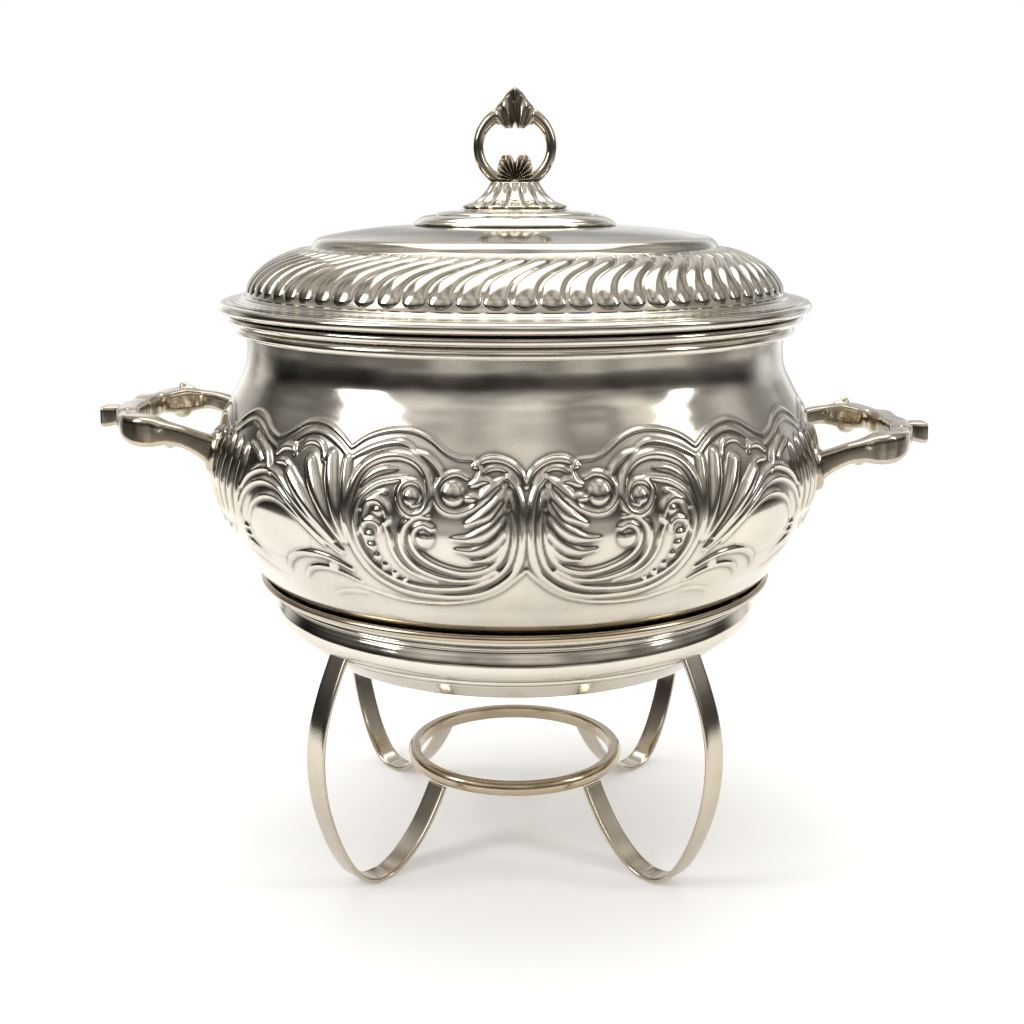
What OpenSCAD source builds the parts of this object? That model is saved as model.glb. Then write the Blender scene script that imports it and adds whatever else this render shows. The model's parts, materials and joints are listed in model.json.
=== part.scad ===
// Two-handled soup tureen: a domed lid with a ring finial, a bellied pot with two cast
// handles, and a four-legged stand whose moulded collar holds the pot over a burner ring.
// Millimetres, +Z up. The origin is on the table, on the axis of the pot.
// +X points at the right handle and -Y at the front.

/* [Pot] */
// Widest diameter of the bowl; every other place follows it
bowl_d = 258.4; // [240:0.1:280]
// Sheet thickness of the bowl and the lid
wall = 1.2; // [0.9:0.1:1.5]
// Distance between the two arms of a handle, centre to centre
handle_w = 84; // [76:1:92]
// Radius of a handle's arm at its thinnest
handle_r = 4.2; // [3.5:0.1:5]
// How far the left handle sits above its drawn place
left_lift = 2.4; // [-6:0.1:6]
// The same for the right handle, which sits lower
right_lift = -4.6; // [-6:0.1:6]

/* [Lid] */
// Outer diameter of the lid's rim
lid_d = 244; // [242:0.5:247]
// Radius of the finial ring's rod
finial_rod_r = 2.4; // [2:0.1:2.8]
// Diameter of the threaded stud that holds the finial
stud_d = 5; // [4:0.5:6]

/* [Stand] */
// Width of the strap that each leg is bent from
strap_w = 10.5; // [8:0.5:14]
// Thickness of the strap
strap_t = 2; // [1.6:0.1:2.4]
// Inner diameter of the ring that holds the burner
burner_d = 85; // [78:1:86]
// Sheet thickness of the collar
collar_wall = 1.4; // [1:0.1:1.6]

/* [Hidden] */
$fn = 96;

k = bowl_d / 258.4;      // scale of all places
gap = 0.3;               // air between pieces of different bodies
touch = 0.02;            // air between soldered pieces
steps = 5;               // straight pieces between two points of an outline

silver = [0.80, 0.78, 0.73];
dark_silver = [0.62, 0.60, 0.56];
warm_silver = [0.76, 0.69, 0.57];

// ---- outlines: [radius, height] from the bottom or the axis outwards ----

// Outer face of the bowl, up to the top of its neck
bowl_points = k * [
    [0, 103], [52, 103.2], [76, 105.4], [88, 109.4], [97, 114.6], [105, 121],
    [112.7, 128.2], [116.9, 133.5], [120.5, 138.9], [123.1, 144], [125.4, 149.2],
    [127.9, 157.2], [129.2, 166], [128.5, 174.6], [126, 183.7], [122.3, 192.6],
    [117.2, 202], [114, 207], [111.9, 211.8], [111.2, 217], [111.6, 222], [112, 229.6],
];
bowl_top_z = 229.6 * k;

// Outer face of the lid, from under the plinth to the flange
lid_seat = [42, 265.2];   // edge of the flat that carries the plinth
lid_points = k * [
    lid_seat, [54, 264.6], [67, 263.1], [76, 261.6], [80.6, 260.5], [82.8, 258.8],
    [84.2, 257], [87, 256.3], [90, 256], [95, 254.4], [100.6, 251.7], [105.2, 248.4],
    [108.6, 244.8], [110.7, 241.4], [111.7, 238.8], [113.4, 237.2], [116, 236.4], [118.4, 236],
];

// Outer face of the stand's collar, from the rim wire down to the pot's seat
collar_points = k * [
    [107.4, 119], [106.6, 117.6], [104.6, 116.4], [103.2, 115.6], [103.6, 114.4],
    [102.4, 113.2], [103, 111.4], [103.9, 108.6], [103.5, 105.4], [101.6, 102.6],
    [98.8, 101], [97.2, 100.2], [96.9, 99], [94.8, 97.4], [91.6, 94.2], [88.6, 91.2],
];
seat_z = 90.4 * k;        // underside of the collar's seat
seat_hole_r = 76 * k;     // opening that lets the heat through
seat_fillet = 0.6;        // slope between the seat and the skirt

// Centre line of a leg: [distance from the axis, height]
leg_points = k * [
    [96.2, 103], [99, 98], [104.6, 86], [109, 73], [110.7, 60], [109.4, 44], [105.2, 28.5],
    [99, 14.5], [91.5, 4.8], [82.5, 0.7], [73.5, 2.2], [65, 7.4], [57.2, 15], [50.4, 24.5], [45.8, 32.5],
];

// ---- points ----

function turned(p) = [for (i = [len(p) - 1:-1:0]) p[i]];
function between(a, b, c, d, t) = 0.5 * (2 * b + (c - a) * t
    + (2 * a - 5 * b + 4 * c - d) * t * t + (3 * b - a - 3 * c + d) * t * t * t);
// A smooth curve through the points p
function curve(p, n = steps) = [
    for (i = [0:len(p) - 2]) for (j = [0:n - 1])
        between(p[max(i - 1, 0)], p[i], p[i + 1], p[min(i + 2, len(p) - 1)], j / n),
    p[len(p) - 1],
];
// The same curve, moved sideways by d, to its left for d above 0
function beside(p, d) = [
    for (i = [0:len(p) - 1])
        let (t = p[min(i + 1, len(p) - 1)] - p[max(i - 1, 0)])
        p[i] + d * [-t[1], t[0]] / norm(t),
];

bowl_line = curve(bowl_points);
lid_line = curve(lid_points);
collar_line = curve(collar_points);
leg_line = curve(leg_points);

// ---- shared shapes ----

// A ring of round section r at radius ring_r and height z
module wire(ring_r, z, r) {
    rotate_extrude() translate([ring_r, z]) circle(r, $fn = 32);
}

module tube_z(r_out, r_in, z0, z1) {
    translate([0, 0, z0]) difference() {
        cylinder(h = z1 - z0, r = r_out);
        translate([0, 0, -1]) cylinder(h = z1 - z0 + 2, r = r_in);
    }
}

// The space that the bowl fills, grown outwards
module bowl_space(grow) {
    outer = [for (p = beside(bowl_line, -grow)) [max(p[0], 0), p[1]]];
    rotate_extrude() polygon(concat([[0, bowl_top_z]], outer));
}

// ---- stand ----

module stand_collar() color(silver) {
    outer = collar_line;
    inner = beside(collar_line, -collar_wall);
    seat_r = outer[len(outer) - 1][0] - 2 * seat_fillet;
    seat_top_z = seat_z + collar_wall;
    rotate_extrude() polygon(concat(
        outer,
        [[seat_r, seat_z], [seat_hole_r, seat_z]],
        [[seat_hole_r, seat_top_z], [seat_r - seat_fillet, seat_top_z]],
        turned(inner)
    ));
}

rim_wire_r = 1.5;
module stand_rim_wire() color(warm_silver)
    wire(108 * k, 119 * k + rim_wire_r + touch, rim_wire_r);

// The space that the collar's outer face fills
module collar_space() {
    rotate_extrude() polygon(concat([[0, 119 * k]], beside(collar_line, touch), [[0, 91.2 * k]]));
}

burner_r = burner_d / 2;
burner_top_z = 37 * k;
burner_low_z = 31.2 * k;
module burner_ring() color(warm_silver) {
    outer_r = burner_r + 5.2;
    round_r = 2.2;
    bevel = 0.8;
    middle = [outer_r - round_r, burner_top_z - round_r];
    rotate_extrude() polygon(concat(
        [[burner_r, burner_low_z], [outer_r - bevel, burner_low_z], [outer_r, burner_low_z + bevel]],
        [for (a = [0:15:90]) middle + round_r * [cos(a), sin(a)]],
        [[burner_r + bevel, burner_top_z], [burner_r, burner_top_z - bevel]]
    ));
}

// One leg, bent from strap, in the upright plane at the given angle about Z
module leg(angle) color(warm_silver) rotate([0, 0, angle]) difference() {
    rotate([90, 0, 0]) linear_extrude(height = strap_w, center = true) intersection() {
        polygon(concat(beside(leg_line, strap_t / 2), turned(beside(leg_line, -strap_t / 2))));
        square([200, 200]);
    }
    collar_space();
    translate([0, 0, burner_low_z - touch]) cylinder(h = 40, r = burner_r + 20);
}

// ---- pot ----

module pot_bowl() color(silver)
    rotate_extrude() polygon(concat(bowl_line, turned(beside(bowl_line, wall))));

module pot_rim() color(silver) {
    r0 = 112 * k + touch;
    rotate_extrude() polygon(concat(
        [[r0, 222.6 * k]],
        curve(k * [[113.4, 222.4], [114.9, 223], [115.4, 224.4], [114.9, 225.8], [113.9, 226.6]]),
        curve(k * [[114.6, 227], [117.2, 227.4], [118.5, 228.8], [118.3, 230.2], [117.2, 230.8]]),
        [[r0, 230.8 * k]]
    ));
}

// Hoop under the bowl: the pot stands on it, and it drops into the stand's collar
foot_r = 84.5 * k;
module pot_foot_ring() color(silver) difference() {
    rotate_extrude() polygon([
        [foot_r - 4, seat_z + collar_wall + gap], [foot_r, seat_z + collar_wall + gap],
        [foot_r - 0.6, seat_z + collar_wall + gap + 3], [foot_r - 2, 112 * k], [foot_r - 4, 112 * k],
    ]);
    bowl_space(touch);
}

// Half of a handle's centre line, from its front root to its middle: [x, y, z, radius]
handle_half_w = handle_w / 2;
handle_z = 184 * k;
function handle_half() = [
    [119 * k, -handle_half_w * 0.9, 173.5 * k, handle_r + 2.2],
    [125 * k, -handle_half_w * 0.94, 177 * k, handle_r + 0.8],
    [131 * k, -handle_half_w * 0.98, 180.5 * k, handle_r],
    [138 * k, -handle_half_w, 182.8 * k, handle_r + 0.4],
    [146 * k, -handle_half_w * 0.99, handle_z, handle_r + 2],
    [153.5 * k, -handle_half_w * 0.86, handle_z, handle_r + 2.2],
    [158.8 * k, -handle_half_w * 0.6, handle_z, handle_r + 1],
    [161.4 * k, -handle_half_w * 0.3, handle_z, handle_r + 1.2],
];
handle_tip = [176.5 * k, 0, 183 * k];
function handle_path() = concat(
    handle_half(), [[162.4 * k, 0, handle_z, handle_r + 1.6]],
    [for (p = turned(handle_half())) [p[0], -p[1], p[2], p[3]]]
);

// A tube of changing radius along path, whose points are [x, y, z, radius]
module swept(path, sides = 12) {
    n = len(path);
    rings = [
        for (i = [0:n - 1])
            let (
                here = [path[i][0], path[i][1], path[i][2]],
                t = path[min(i + 1, n - 1)] - path[max(i - 1, 0)],
                along = [t[0], t[1], t[2]] / norm([t[0], t[1], t[2]]),
                across = cross([0, 0, 1], along) / norm(cross([0, 0, 1], along)),
                up = cross(along, across)
            )
            for (j = [0:sides - 1])
                here + path[i][3] * (cos(360 * j / sides) * across + sin(360 * j / sides) * up),
    ];
    walls = [
        for (i = [0:n - 2]) for (j = [0:sides - 1])
            let (a = i * sides + j, b = i * sides + (j + 1) % sides)
            each [[a, b + sides, b], [a, a + sides, b + sides]],
    ];
    ends = [[for (j = [0:sides - 1]) j], [for (j = [sides - 1:-1:0]) (n - 1) * sides + j]];
    polyhedron(rings, concat(walls, ends), convexity = 6);
}

pad_t = 1.6;              // how far a pad stands out of the bowl
pad_r = handle_r + 5;
pad_gap = 0.05;           // air behind a pad
function lift(side) = side < 0 ? left_lift : right_lift;
module handle(side) color(silver) rotate([0, 0, side < 0 ? 180 : 0]) difference() {
    translate([0, 0, lift(side)]) {
        swept(curve(handle_path(), 4));
        swept(curve([
            [160 * k, 0, handle_z, handle_r], [167 * k, 0, handle_z, handle_r + 0.3],
            [172 * k, 0, handle_z - 0.6, handle_r - 0.4], concat(handle_tip, [handle_r]),
        ], 4));
    }
    bowl_space(pad_t + touch);
}

// The two oval plates that a handle is soldered to
root_angle = atan2(handle_half_w * 0.92, 122 * k);
module handle_pads(side) color(dark_silver) rotate([0, 0, side < 0 ? 180 : 0]) intersection() {
    difference() {
        bowl_space(pad_t);
        bowl_space(pad_gap);
    }
    for (s = [-1, 1])
        translate([0, 0, 175 * k + lift(side)]) rotate([0, 90, s * root_angle])
            cylinder(h = bowl_d, r = pad_r);
}

// ---- lid ----

hole_r = stud_d / 2 + 0.5;
module lid_dome() color(silver) {
    outer = concat([[hole_r, lid_seat[1] * k]], lid_line);
    inner = concat([[hole_r, lid_seat[1] * k - wall]], beside(lid_line, -wall));
    rotate_extrude() polygon(concat(outer, turned(inner)));
}

// Moulded ring under the flange, which rests on the pot's rim
lid_low_z = 230.8 * k + gap;
module lid_rim() color(silver) {
    bead_r = 2.1 * k;
    bead_z = lid_low_z + bead_r + 0.5;
    under = beside(lid_line, -wall - touch);
    rotate_extrude() polygon(concat(
        [[110 * k, lid_low_z], [116.6 * k, lid_low_z]],
        [for (a = [-90:15:75]) [lid_d / 2 - bead_r + bead_r * cos(a), bead_z + bead_r * sin(a)]],
        turned([for (p = under) if (p[0] > 111.4 * k && p[1] < 237.4 * k) p]),
        [[110 * k, 236 * k]]
    ));
}

// Upright collar inside the mouth of the pot
module lid_bezel() color(silver)
    tube_z(110 * k - touch, 110 * k - touch - wall, 222 * k, 236 * k);

plinth_z = lid_seat[1] * k + touch;
plinth_top_z = 272 * k;
module finial_plinth() color(silver) {
    outer = concat([[hole_r, plinth_top_z]], curve(k * [
        [20, 272], [32, 270.9], [38.4, 269.8], [40.2, 268.6], [40.2, 267.4], [41.2, 266.2], [42, 265.3],
    ]));
    inner = beside(outer, -wall);
    rotate_extrude() polygon(concat(
        [for (p = outer) [p[0], max(p[1], plinth_z)]],
        turned([for (p = inner) [max(p[0], hole_r), max(p[1], plinth_z)]])
    ));
}

calyx_top_z = 282.5 * k;
module finial_calyx() color(silver) difference() {
    rotate_extrude() polygon(concat(
        [[0, plinth_top_z + touch]],
        curve(k * [
            [21.5, 272.1], [21.8, 273.1], [17.2, 274.8], [13.6, 277.6], [11.4, 280.4], [10.2, 282.5],
        ]),
        [[0, calyx_top_z]]
    ));
    translate([0, 0, plinth_top_z - 1]) cylinder(h = 7 * k, r = stud_d / 2 + 0.05);
}

ring_r = 14.8 * k;
ring_z = 296.6 * k;
module ring_rod(grow = 0) {
    translate([0, 0, ring_z]) rotate([90, 0, 0])
        rotate_extrude() translate([ring_r, 0]) circle(finial_rod_r + grow, $fn = 32);
}

module finial_ring() color(dark_silver) difference() {
    ring_rod();
    translate([0, 0, calyx_top_z - 20 + touch]) cube([60, 60, 40], center = true);
}

// Leaf that caps the top of the ring
module finial_leaf() color(silver) difference() {
    rotate([90, 0, 0]) linear_extrude(height = 9.6 * k, center = true) polygon(k * [
        [0, 320], [2.6, 317.6], [6.4, 312.8], [9.4, 308.8], [8.2, 305.6], [6, 303.8],
        [-6, 303.8], [-8.2, 305.6], [-9.4, 308.8], [-6.4, 312.8], [-2.6, 317.6],
    ]);
    ring_rod(touch);
}

// Scallop inside the foot of the ring
module finial_shell() color(dark_silver) difference() {
    rotate([90, 0, 0]) linear_extrude(height = 8.4 * k, center = true) polygon(k * [
        [-4, 282.55], [-6.6, 285], [-7.2, 288.6], [-5.6, 291.8], [-3, 293.4], [0, 292.4],
        [3, 293.4], [5.6, 291.8], [7.2, 288.6], [6.6, 285], [4, 282.55],
    ]);
    ring_rod(touch);
}

under_lid_z = lid_seat[1] * k - wall;
module finial_stud() color(dark_silver)
    translate([0, 0, under_lid_z - 7]) cylinder(h = 7 + wall + 12 * k, r = stud_d / 2);

module finial_washer() color(dark_silver)
    tube_z(stud_d / 2 + 5, stud_d / 2 + 0.3, under_lid_z - 1 - touch, under_lid_z - touch);

module finial_nut() color(dark_silver)
    translate([0, 0, under_lid_z - 5.2]) difference() {
        cylinder(h = 4, r = stud_d * 0.95, $fn = 6);
        translate([0, 0, -1]) cylinder(h = 6, r = stud_d / 2 + 0.05);
    }

stand_collar();
stand_rim_wire();
burner_ring();
leg(225);  // leg_front_left
leg(315);  // leg_front_right
leg(135);  // leg_back_left
leg(45);  // leg_back_right
pot_bowl();
pot_rim();
pot_foot_ring();
handle(-1);  // handle_left
handle(1);  // handle_right
handle_pads(-1);  // handle_left_pads
handle_pads(1);  // handle_right_pads
lid_dome();
lid_rim();
lid_bezel();
finial_plinth();
finial_calyx();
finial_ring();
finial_leaf();
finial_shell();
finial_stud();
finial_washer();
finial_nut();
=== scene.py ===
"""Looks of the soup tureen: chased bowl, gadrooned lid, cast handles and finial, strap-legged stand."""

import json
import math

import bmesh
import bpy
import numpy as np
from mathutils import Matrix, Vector
from mathutils.bvhtree import BVHTree


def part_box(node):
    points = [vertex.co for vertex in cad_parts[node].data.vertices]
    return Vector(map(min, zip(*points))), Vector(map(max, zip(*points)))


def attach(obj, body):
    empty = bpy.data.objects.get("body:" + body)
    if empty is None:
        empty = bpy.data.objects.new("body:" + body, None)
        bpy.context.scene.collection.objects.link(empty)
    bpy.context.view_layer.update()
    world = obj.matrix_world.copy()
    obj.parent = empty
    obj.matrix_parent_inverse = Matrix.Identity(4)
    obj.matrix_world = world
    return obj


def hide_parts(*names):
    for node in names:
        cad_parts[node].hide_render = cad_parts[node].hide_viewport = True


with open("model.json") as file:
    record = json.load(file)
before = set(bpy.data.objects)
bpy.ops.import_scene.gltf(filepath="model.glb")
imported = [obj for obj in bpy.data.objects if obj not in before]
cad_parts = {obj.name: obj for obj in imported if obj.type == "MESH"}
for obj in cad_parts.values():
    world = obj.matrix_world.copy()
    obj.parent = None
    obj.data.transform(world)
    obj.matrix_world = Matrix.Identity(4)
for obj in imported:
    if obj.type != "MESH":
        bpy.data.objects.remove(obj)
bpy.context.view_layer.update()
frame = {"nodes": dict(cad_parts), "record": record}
MM = 0.001                      # shapes are worked out in millimetres
TAU = 2 * math.pi
X, Y, Z = 0, 1, 2
FRONT_TURN = 0.03               # the chased and gadrooned patterns start this far round from -Y, in radians
LOBES = 70                      # round the lid
RIM_COLUMNS = 384
LOOP_BELOW_TOP = 6.55           # from the top of a handle's box down to its loop's centre line
ROOT_TURN = math.atan2(38.64, 122)      # from the X axis round to a handle's root
FLOOR_CENTRE = 0.50             # how far the middle of the table is behind the tureen, in metres


# ---- shapes

def unit(x):
    return np.clip(x, 0, 1)


def smooth_step(x, lo, hi):
    t = unit((np.asarray(x, float) - lo) / (hi - lo))
    return t * t * (3 - 2 * t)


def curve(points, per_span=8):
    """A smooth line through given points of any dimension (Catmull-Rom)."""
    p = np.array(points, float)
    ext = np.vstack([2 * p[0] - p[1], p, 2 * p[-1] - p[-2]])
    t = np.linspace(0, 1, per_span, endpoint=False)[:, None]
    spans = []
    for i in range(len(p) - 1):
        a, b, c, d = ext[i : i + 4]
        spans.append(0.5 * (2 * b + (c - a) * t + (2 * a - 5 * b + 4 * c - d) * t**2
                            + (3 * b - a - 3 * c + d) * t**3))
    return np.vstack(spans + [p[-1:]])


def add_mesh(name, vertices, quads, triangles=(), recess_shade=None):
    """A smooth-shaded mesh object from arrays in millimetres."""
    vertices = np.asarray(vertices, np.float32) * MM
    quads = np.asarray(quads, np.int32).reshape(-1, 4)
    triangles = np.asarray(triangles, np.int32).reshape(-1, 3)
    mesh = bpy.data.meshes.new(name)
    mesh.vertices.add(len(vertices))
    mesh.vertices.foreach_set("co", vertices.ravel())
    loops = np.concatenate([quads.ravel(), triangles.ravel()])
    mesh.loops.add(len(loops))
    mesh.loops.foreach_set("vertex_index", loops)
    sizes = np.concatenate([np.full(len(quads), 4), np.full(len(triangles), 3)])
    mesh.polygons.add(len(sizes))
    mesh.polygons.foreach_set("loop_start", np.concatenate([[0], np.cumsum(sizes)[:-1]]).astype(np.int32))
    mesh.update(calc_edges=True)
    mesh.polygons.foreach_set("use_smooth", np.ones(len(sizes), bool))
    # the recess attribute is painted shade per vertex, which the silver materials darken by
    if recess_shade is not None:
        mesh.attributes.new("recess_shade", "FLOAT", "POINT").data.foreach_set(
            "value", np.asarray(recess_shade, np.float32).ravel())
    mesh.validate()
    piece = bpy.data.objects.new(name, mesh)
    bpy.context.scene.collection.objects.link(piece)
    return piece


def grid_faces(rows, columns, wrap_rows=False, wrap_columns=True, start=0):
    """Quads of a grid of vertices, counted from start."""
    r = np.arange(rows if wrap_rows else rows - 1)
    c = np.arange(columns if wrap_columns else columns - 1)
    r, c = [a.ravel() for a in np.meshgrid(r, c, indexing="ij")]
    r2, c2 = (r + 1) % rows, (c + 1) % columns
    return start + np.stack([r * columns + c, r * columns + c2, r2 * columns + c2, r2 * columns + c], 1)


def turned(name, radius, height, columns=192, closed=True, recess_shade=None, angles=None):
    """A surface of revolution. radius and height are (rows,) or (rows, columns), in millimetres.
    A first or last row on the axis becomes one point; closed joins the last row to the first."""
    angles = np.arange(columns) * TAU / columns if angles is None else angles
    columns = len(angles)
    radius = np.asarray(radius, float)
    height = np.asarray(height, float)
    if radius.ndim == 1:
        radius = np.repeat(radius[:, None], columns, 1)
    if height.ndim == 1:
        height = np.repeat(height[:, None], columns, 1)
    x, y = radius * np.cos(angles), radius * np.sin(angles)
    vertices = np.stack([x, y, height], -1)
    on_axis = [i for i in (0, len(radius) - 1) if radius[i].max() < 1e-6]
    keep = [i for i in range(len(radius)) if i not in on_axis]
    body = vertices[keep].reshape(-1, 3)
    quads = grid_faces(len(keep), columns, wrap_rows=closed and not on_axis)
    shade = None if recess_shade is None else [recess_shade[keep].ravel()]
    points, triangles = [body], []
    c = np.arange(columns)
    for i in on_axis:
        tip = sum(len(p) for p in points)
        points.append(vertices[i, :1])
        if shade is not None:
            shade.append(recess_shade[i, :1])
        base = 0 if i == 0 else (len(keep) - 1) * columns
        ring = [base + c, base + (c + 1) % columns]
        if i == 0:
            ring = ring[::-1]
        triangles.append(np.stack([ring[0], ring[1], np.full(columns, tip)], 1))
    piece = add_mesh(name, np.vstack(points), quads, np.vstack(triangles) if triangles else (),
                     None if shade is None else np.concatenate(shade))
    fix_normals(piece)
    return piece


def fix_normals(piece, merge=0):
    """Turns every face outwards, after merging vertices nearer than a distance in millimetres."""
    b = bmesh.new()
    b.from_mesh(piece.data)
    if merge:
        bmesh.ops.remove_doubles(b, verts=b.verts, dist=merge * MM)
    bmesh.ops.recalc_face_normals(b, faces=b.faces)
    b.to_mesh(piece.data)
    b.free()


def swept(name, path, section, up=(0, 0, 1), caps=True):
    """A tube: section(t) gives (n, 2) offsets across and up, in millimetres, at each point of the path."""
    path = np.asarray(path, float)
    along = np.gradient(path, axis=0)
    along /= np.linalg.norm(along, axis=1)[:, None]
    up = np.broadcast_to(np.asarray(up, float), path.shape)
    across = np.cross(up, along)
    across /= np.linalg.norm(across, axis=1)[:, None]
    upright = np.cross(along, across)
    rings = []
    for i, t in enumerate(np.linspace(0, 1, len(path))):
        s = section(t)
        rings.append(path[i] + s[:, :1] * across[i] + s[:, 1:] * upright[i])
    count = len(rings[0])
    vertices = np.vstack(rings)
    quads = grid_faces(len(path), count)
    triangles = []
    if caps:
        ends = np.vstack([rings[0].mean(0), rings[-1].mean(0)])
        first = len(vertices)
        vertices = np.vstack([vertices, ends])
        c = np.arange(count)
        nxt = (c + 1) % count
        last = (len(path) - 1) * count
        triangles = np.vstack([np.stack([nxt, c, np.full(count, first)], 1),
                               np.stack([last + c, last + nxt, np.full(count, first + 1)], 1)])
    piece = add_mesh(name, vertices, quads, triangles)
    fix_normals(piece)
    return piece


def span(node, axis=Z):
    """Lowest and highest place of a CAD node along an axis, in millimetres."""
    return tuple(v[axis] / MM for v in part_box(node))


def bvh(node):
    mesh = frame["nodes"][node].data
    mesh.calc_loop_triangles()
    return BVHTree.FromPolygons([v.co for v in mesh.vertices],
                                [t.vertices[:] for t in mesh.loop_triangles])


def outer_radius(node, heights):
    """Radius of a CAD node's outer face at each height, in millimetres."""
    tree = bvh(node)
    hits = [tree.ray_cast(Vector((1, 1e-5, z * MM)), Vector((-1, 0, 0)))[0] for z in heights]
    return np.array([h.x / MM for h in hits])


def top_height(node, radii, above=1.0, down=-1):
    """Height of a CAD node's upper face (or its lower one, from below) at each radius."""
    tree = bvh(node)
    hits = [tree.ray_cast(Vector((r * MM, 1e-5, above)), Vector((0, 0, down)))[0] for r in radii]
    return np.array([h.z / MM for h in hits])


def eased(x, y, spread, at):
    """y over x, smoothed over a distance and read at other places; both ends stay where they are."""
    even = np.linspace(x.min(), x.max(), max(int(6 * np.ptp(x) / spread), 80))
    half = max(int(round(spread / 2 / (even[1] - even[0]))), 1)
    values = np.interp(even, x, y)
    line = np.interp(even, even[[0, -1]], values[[0, -1]])
    k = np.exp(-0.5 * np.linspace(-3, 3, 2 * half + 1) ** 2)
    rest = values - line
    padded = np.concatenate([-rest[half:0:-1], rest, -rest[-2 : -half - 2 : -1]])
    return np.interp(at, even, np.convolve(padded, k / k.sum(), "valid") + line)


def join(name, pieces):
    """One object made of several, keeping the first one's place."""
    with bpy.context.temp_override(active_object=pieces[0], selected_editable_objects=pieces):
        bpy.ops.object.join()
    pieces[0].name = name
    return pieces[0]


def fuse(piece, voxel, smooth_rounds=4):
    """Melts the overlapping lumps of a casting into one skin."""
    m = piece.modifiers.new("fuse", "REMESH")
    m.mode = "VOXEL"
    m.voxel_size = voxel * MM
    m.use_smooth_shade = True
    s = piece.modifiers.new("polish", "CORRECTIVE_SMOOTH")
    s.factor = 0.6
    s.iterations = smooth_rounds
    s.use_only_smooth = True
    bpy.context.view_layer.update()
    evaluated = piece.evaluated_get(bpy.context.evaluated_depsgraph_get())
    mesh = bpy.data.meshes.new_from_object(evaluated)
    piece.modifiers.clear()
    piece.data = mesh
    mesh.polygons.foreach_set("use_smooth", np.ones(len(mesh.polygons), bool))
    return piece


# ---- materials

def adder(tree):
    """A function that adds nodes to a tree; inputs are sockets or values."""
    def add(kind, inputs=(), **settings):
        n = tree.nodes.new("ShaderNode" + kind)
        for k, v in settings.items():
            setattr(n, k, v)
        for k, v in dict(inputs).items():
            if isinstance(v, bpy.types.NodeSocket):
                tree.links.new(v, n.inputs[k])
            else:
                n.inputs[k].default_value = v
        return n

    return add


def node_maker(name):
    material = bpy.data.materials.new(name)
    material.use_nodes = True
    tree = material.node_tree
    return material, tree, tree.nodes["Principled BSDF"], adder(tree)


def blend(add, factor, a, b, mode="MIX"):
    """Mixes two colours; a and b are sockets or RGB values."""
    n = add("Mix", {"Factor": factor}, data_type="RGBA", blend_type=mode)
    for socket, value in zip([i for i in n.inputs if i.type == "RGBA"], (a, b)):
        if isinstance(value, bpy.types.NodeSocket):
            n.id_data.links.new(value, socket)
        else:
            socket.default_value = (*value, 1)
    return next(o for o in n.outputs if o.type == "RGBA")


def ramp(add, factor, stops):
    """A ramp over factor; a stop is a place with a grey value or an RGB colour."""
    n = add("ValToRGB", {"Fac": factor})
    e = n.color_ramp.elements
    while len(e) < len(stops):
        e.new(0.5)
    for element, (place, value) in zip(e, stops):
        element.position = place
        element.color = (*np.broadcast_to(value, 3).tolist(), 1)
    return n.outputs["Color"]


def times(add, a, b, plus=None):
    """a * b, or a * b + plus."""
    if plus is None:
        return add("Math", {0: a, 1: b}, operation="MULTIPLY").outputs[0]
    return add("Math", {0: a, 1: b, 2: plus}, operation="MULTIPLY_ADD").outputs[0]


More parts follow.
